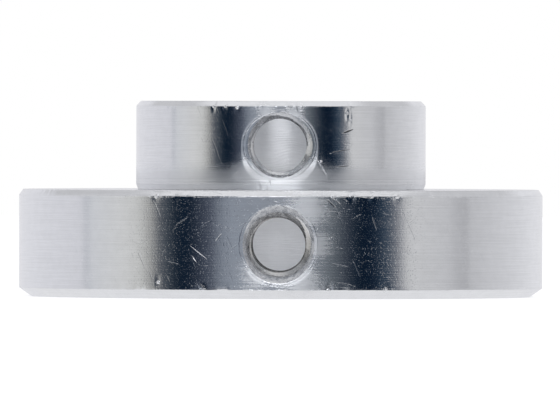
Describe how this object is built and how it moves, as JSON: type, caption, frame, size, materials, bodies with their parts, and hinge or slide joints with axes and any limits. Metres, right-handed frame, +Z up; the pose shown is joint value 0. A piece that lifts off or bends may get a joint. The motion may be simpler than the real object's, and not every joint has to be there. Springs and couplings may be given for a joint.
{
  "type": "shaft collar",
  "caption": "Set-screw shaft collars, a small ring stacked on a large one, each with a plain bore, radial tapped holes and a cup-point set screw.",
  "frame": {"origin": "centre of the large collar's bottom face, on the bore axis", "axes": "+Z up along both bores; -Y is the side the two empty tapped holes face; +X is to the right seen from there"},
  "size_m": [0.032, 0.032, 0.012],
  "materials": {
    "large_collar_aluminium": "fine turned, bright",
    "small_collar_aluminium": "fine turned, bright",
    "set_screw_steel": "black oxide, oiled"
  },
  "bodies": {
    "large_collar": {"large_collar": "large_collar_aluminium"},
    "small_collar": {"small_collar": "small_collar_aluminium"},
    "large_set_screw": {"large_set_screw": "set_screw_steel"},
    "small_set_screw": {"small_set_screw": "set_screw_steel"}
  },
  "joints": [
    {"name": "small_collar_lift", "type": "slide", "parent": "large_collar", "child": "small_collar", "axis": [0, 0, 1], "range_m": [0, 0.02]},
    {"name": "large_set_screw_travel", "type": "slide", "parent": "large_collar", "child": "large_set_screw", "axis": [-0.866, 0.5, 0], "range_m": [-0.0014, 0.0098]},
    {"name": "small_set_screw_travel", "type": "slide", "parent": "small_collar", "child": "small_set_screw", "axis": [-0.866, 0.5, 0], "range_m": [-0.0014, 0.007]}
  ]
}
